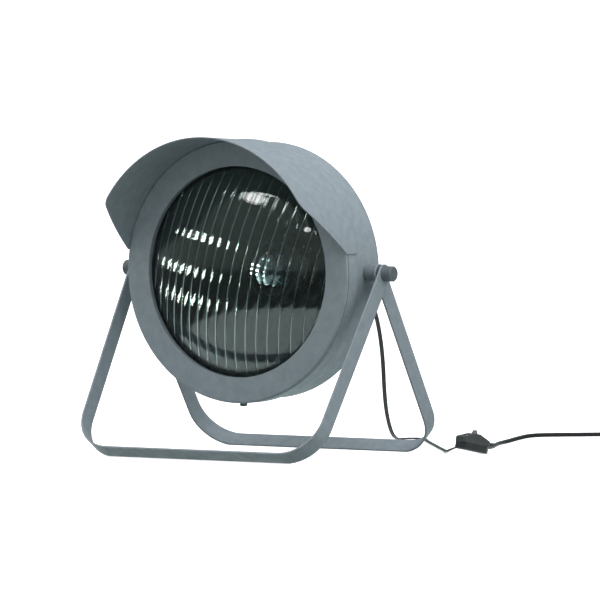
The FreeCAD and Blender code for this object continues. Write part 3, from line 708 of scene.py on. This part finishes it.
def hoop(name, radius, y, thick, wide, slot, sides):
    inner, low, high = radius - thick, y - wide, y + wide
    profile = [(inner, low), (radius, low), (radius, high), (inner, high), (inner, low)]
    vertices, faces = spun(profile, sides)
    return addMesh(name, vertices, faces, "head", slot, smooth=False)


def block(name, centre, size, body, slot):
    corners = [Vector(centre) + Vector((x * size[0], y * size[1], z * size[2])) / 2
               for x in (-1, 1) for y in (-1, 1) for z in (-1, 1)]
    faces = [(0, 1, 3, 2), (4, 6, 7, 5), (0, 4, 5, 1), (2, 3, 7, 6), (0, 2, 6, 4), (1, 5, 7, 3)]
    return addMesh(name, [c * mm for c in corners], faces, body, slot, smooth=False)


print("trim")
seamShadeRings = {  # painted shade: dark rings in the joins at the bezel and the dome stand in for the shadow in these gaps; radius, place along y, depth and half width
    "bezelBackSeamShade": (138.6, -22.45, 1.5, 0.35),
    "bezelEdgeSeamShade": (140.04, -40.2, 0.4, 0.3),
    "domeSeamShade": (137.06, 23.3, 0.4, 0.3),
}
seamSides = 160
for name, ring in seamShadeRings.items():
    hoop(name, *ring, "gasket_rubber", seamSides)

gripRibs = {
    "firstY": 140.5,
    "step": 2.6,
    "count": 4,
    "radius": 6.9,
    "taper": 0.25,
    "thick": 1.4,
    "halfWidth": 0.6,
    "sides": 40,
}
for k in range(gripRibs["count"]):
    y = gripRibs["firstY"] + k * gripRibs["step"]
    radius = gripRibs["radius"] - gripRibs["taper"] * k * gripRibs["step"]
    hoop(
        "gripRib%d" % (k + 1), radius, y, gripRibs["thick"], gripRibs["halfWidth"],
        "black_plastic", gripRibs["sides"])

# Painted shade: a thin dark sheet on the screw head stands in for the shade inside its slot.
screwSlot = {"centre": (0, -32.8, 52.75), "size": (6.4, 1, 0.25)}
block("bezelScrewSlotShade", screwSlot["centre"], screwSlot["size"], "head", "gasket_rubber")

plugRibs = {"firstX": 289, "step": 3.2, "count": 5, "y": 426, "z": 13.2, "size": (1.3, 17, 0.8)}
for k in range(plugRibs["count"]):
    centre = (plugRibs["firstX"] + k * plugRibs["step"], plugRibs["y"], plugRibs["z"])
    block("plugRib%d" % (k + 1), centre, plugRibs["size"], "stand", "black_plastic")

boot = {"from": 0.588, "to": 0.628, "root": 3.9, "tip": 2.5, "ring": 20}  # from and to in metres of cord


# A cone round the cord, where it leaves the switch.
def bootMesh():
    travelled = 0.0
    centres, widths = [], []
    for before, point in zip(cordPath, cordPath[1:]):
        travelled += (point - before).length
        if boot["from"] <= travelled <= boot["to"]:
            share = (travelled - boot["from"]) / (boot["to"] - boot["from"])
            centres.append(point)
            widths.append(boot["root"] + (boot["tip"] - boot["root"]) * share)
    vertices, faces = tubeAlong(centres, roundSection(1, boot["ring"]))
    for i, vertex in enumerate(vertices):
        centre = centres[i // boot["ring"]]
        vertices[i] = centre + (vertex - centre) * widths[i // boot["ring"]]
    return vertices, faces


addMesh("switchBoot", *bootMesh(), "stand", "black_plastic")

tieEnds = {
    "radius": 0.8,
    "points": [
        (196, 447, 9.6), (195.6, 444.5, 10), (196.6, 442, 8.6), (195.4, 439.5, 6.4), (196.8, 437.5, 4)],
}
tiePath = [Vector(point) * mm for point in tieEnds["points"]]
addMesh("coilTieEnds", *tubeAlong(tiePath, roundSection(tieEnds["radius"])), "stand", "black_plastic")

print("stage")
table = {
    "reach": 15,
    "drop": 0.0002,  # keeps the floor just under the feet
    "matt": (0.8, 0.8, 0.8, 1),
    "glow": 0.75,
    "centre": (0.02, -0.08, 0),
    "edge": (0.37, 0.4),  # a round pale table and a dark room, for reflections only
    "mirrored": (1.28, 0.1),
    "mirroredColour": (0.87, 1.0, 1.01, 1),
    "shadeEdge": (0.2, 0.6),  # less light comes up from under the lamp
    "shade": (0.13, 0.55),
}
white = (1, 1, 1, 1)
reach = table["reach"]
floor = placed("floor", bpy.data.meshes.new("floor"))
floor.data.from_pydata(
    [(-reach, -reach, 0), (reach, -reach, 0), (reach, reach, 0), (-reach, reach, 0)], [], [(0, 1, 2, 3)])
floor.location.z = -table["drop"]
paper = bpy.data.materials.new("paper")
paper.use_nodes = True
tree = paper.node_tree
tree.nodes.clear()
output = addNode(tree, "ShaderNodeOutputMaterial")
matt = addNode(tree, "ShaderNodeBsdfDiffuse", Color=table["matt"])
glow = addNode(tree, "ShaderNodeEmission", Color=white, Strength=table["glow"])
total = addNode(tree, "ShaderNodeAddShader")
linkNodes(tree, matt.outputs["BSDF"], total.inputs[0])
linkNodes(tree, glow.outputs["Emission"], total.inputs[1])
ray = addNode(tree, "ShaderNodeLightPath")
tablePlace = addNode(tree, "ShaderNodeTexCoord")
away = addNode(tree, "ShaderNodeVectorMath", operation="DISTANCE")
away.inputs[1].default_value = table["centre"]
linkNodes(tree, tablePlace.outputs["Object"], away.inputs[0])
mirrored = addNode(tree, "ShaderNodeEmission", Color=table["mirroredColour"])
mirroredStrength = mapRange(tree, away.outputs["Value"], table["edge"], table["mirrored"])
linkNodes(tree, mirroredStrength, mirrored.inputs["Strength"])
diffuseGlow = addNode(tree, "ShaderNodeEmission", Color=white)
shade = mapRange(tree, away.outputs["Value"], table["shadeEdge"], table["shade"])
linkNodes(tree, shade, diffuseGlow.inputs["Strength"])
direct = mixShaders(
    tree, ray.outputs["Is Camera Ray"], mirrored.outputs["Emission"], total.outputs["Shader"])
soft = mixShaders(tree, ray.outputs["Is Diffuse Ray"], direct, diffuseGlow.outputs["Emission"])
linkNodes(tree, soft, output.inputs["Surface"])
floor.data.materials.append(paper)

# The room is white to the eye, a sky for matt surfaces and dim in reflections.
room = {
    "heights": (-0.1, 1.0),
    "sky": (0.25, 1.42),
    "skyColour": (1.0, 0.985, 1.02, 1),
    "dim": 0.36,
    "dimColour": (0.85, 1.0, 0.97, 1),
    "backdrop": 1.03,
}
world = bpy.data.worlds.new("room")
bpy.context.scene.world = world
world.use_nodes = True
tree = world.node_tree
tree.nodes.clear()
output = addNode(tree, "ShaderNodeOutputWorld")
ray = addNode(tree, "ShaderNodeLightPath")
place = addNode(tree, "ShaderNodeTexCoord")
split = addNode(tree, "ShaderNodeSeparateXYZ")
linkNodes(tree, place.outputs["Generated"], split.inputs["Vector"])
sky = addNode(tree, "ShaderNodeBackground", Color=room["skyColour"])
skyStrength = mapRange(tree, split.outputs["Z"], room["heights"], room["sky"])
linkNodes(tree, skyStrength, sky.inputs["Strength"])
dim = addNode(tree, "ShaderNodeBackground", Color=room["dimColour"], Strength=room["dim"])
backdrop = addNode(tree, "ShaderNodeBackground", Color=white, Strength=room["backdrop"])
bounced = mixShaders(
    tree, ray.outputs["Is Diffuse Ray"], dim.outputs["Background"], sky.outputs["Background"])
seen = mixShaders(tree, ray.outputs["Is Camera Ray"], bounced, backdrop.outputs["Background"])
linkNodes(tree, seen, output.inputs["Surface"])

print("lights")
lensFacing = Vector((-42, -60, pivotHeight)) * mm
# The panes show as rows of bright blocks in the flutes.
pane = {
    "from": lensFacing, "radiance": 32, "seenBy": ("transmission",), "colour": (1, 0.98, 0.95),
    "shape": "RECTANGLE"}
overhead = {"from": pivot, "seenBy": ("glossy", "transmission"), "shape": "ELLIPSE"}
softbox = {"from": pivot, "shape": "RECTANGLE"}
lightRows = {
    "paneTop": {
        **pane, "azimuth": -62.5, "elevation": 13.4, "away": 3, "roll": 1, "size": (1.7, 0.19)},
    "paneMiddle": {
        **pane, "azimuth": -64.5, "elevation": -1.2, "away": 0.515, "roll": -2, "size": (0.235, 0.0345)},
    "paneLow": {
        **pane, "azimuth": -64.5, "elevation": -16, "away": 0.515, "roll": -4, "size": (0.215, 0.036)},
    "overhead": {
        **overhead, "azimuth": -23, "elevation": 38, "away": 3, "size": (0.85, 0.36), "radiance": 5},
    "overheadCore": {
        **overhead, "azimuth": -22.5, "elevation": 38, "away": 2.98, "size": (0.66, 0.25), "radiance": 6},
    "overheadEdge": {
        **overhead, "azimuth": -13, "elevation": 41.5, "away": 2.96, "size": (0.7, 0.1), "radiance": 7},
    "smallLamp": {
        **overhead, "azimuth": 19, "elevation": 23.5, "away": 3, "size": (0.22, 0.14), "radiance": 11},
    "keySoftbox": {
        **softbox, "azimuth": 45, "elevation": 72, "away": 3, "size": (2.6, 2.6), "radiance": 1.95,
        "seenBy": ("diffuse", "glossy"), "colour": (1.02, 0.93, 1.06)},
    "sideFill": {
        **softbox, "azimuth": 82, "elevation": 9, "away": 3, "size": (2, 1.2), "radiance": 2.2,
        "seenBy": ("diffuse",)},
}
for name, facts in lightRows.items():
    azimuth, elevation = math.radians(facts["azimuth"]), math.radians(facts["elevation"])
    towards = Vector((
        math.sin(azimuth) * math.cos(elevation),
        -math.cos(azimuth) * math.cos(elevation),
        math.sin(elevation),
    ))
    lamp = bpy.data.lights.new(name, "AREA")
    lamp.shape = facts["shape"]
    lamp.color = facts.get("colour", (1, 1, 1))
    lamp.size, lamp.size_y = facts["size"]
    filled = math.pi / 4 if facts["shape"] == "ELLIPSE" else 1
    lamp.energy = facts["radiance"] * math.pi * facts["size"][0] * facts["size"][1] * filled
    lampObject = placed(name, lamp)
    lampObject.location = facts["from"] + towards * facts["away"]
    facing = towards.to_track_quat("Z", "Y") @ Quaternion((0, 0, 1), math.radians(facts.get("roll", 0)))
    lampObject.rotation_euler = facing.to_euler()
    lampObject.visible_camera = False
    lampObject.visible_diffuse = "diffuse" in facts["seenBy"]
    lampObject.visible_glossy = "glossy" in facts["seenBy"]
    lampObject.visible_transmission = "transmission" in facts["seenBy"]
